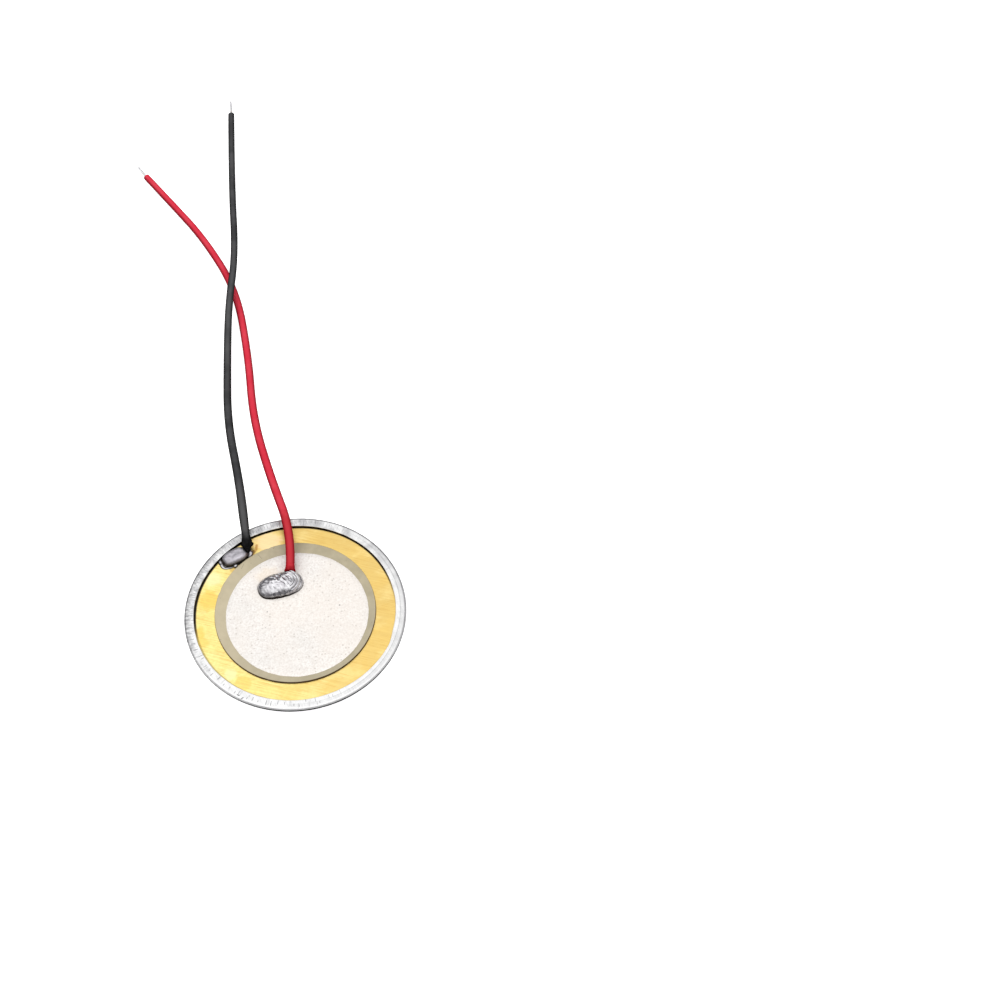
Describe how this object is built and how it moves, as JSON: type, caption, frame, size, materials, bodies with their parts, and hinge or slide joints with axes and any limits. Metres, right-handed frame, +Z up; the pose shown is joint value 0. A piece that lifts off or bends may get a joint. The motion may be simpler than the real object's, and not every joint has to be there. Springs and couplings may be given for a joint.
{
  "type": "piezo element",
  "caption": "Round piezo sounder element: silvered ceramic on a brass plate crimped into a drawn aluminium resonator shell with a sound port, with soldered red and black leads.",
  "frame": {"origin": "middle of the shell's flat base, on the surface that the element stands on", "axes": "+Z up through the plate towards the soldered face, +Y the way the leads run, +X to the right with the leads away"},
  "size_m": [0.0409, 0.1025, 0.0056],
  "materials": {
    "shell": "bright rolled sheet, brushed on the flat faces",
    "plate": "rolled, fine streaks",
    "bond": "cured adhesive",
    "silver": "fired silver print, matt",
    "ceramic": "fired, satin",
    "solder": "frozen solder, wrinkled and bright",
    "red_cover": "extruded, soft gloss",
    "black_cover": "extruded, soft gloss",
    "core": "tinned strands"
  },
  "bodies": {
    "root": {"aluminium_shell": "shell", "brass_plate": "plate", "bond_film": "bond", "lower_silver_film": "silver", "ceramic_disc": "ceramic", "upper_silver_film": "silver", "red_solder_drop": "solder", "black_solder_drop": "solder", "red_lead": "red_cover", "red_lead_tip": "core", "black_lead": "black_cover", "black_lead_tip": "core"}
  },
  "joints": []
}
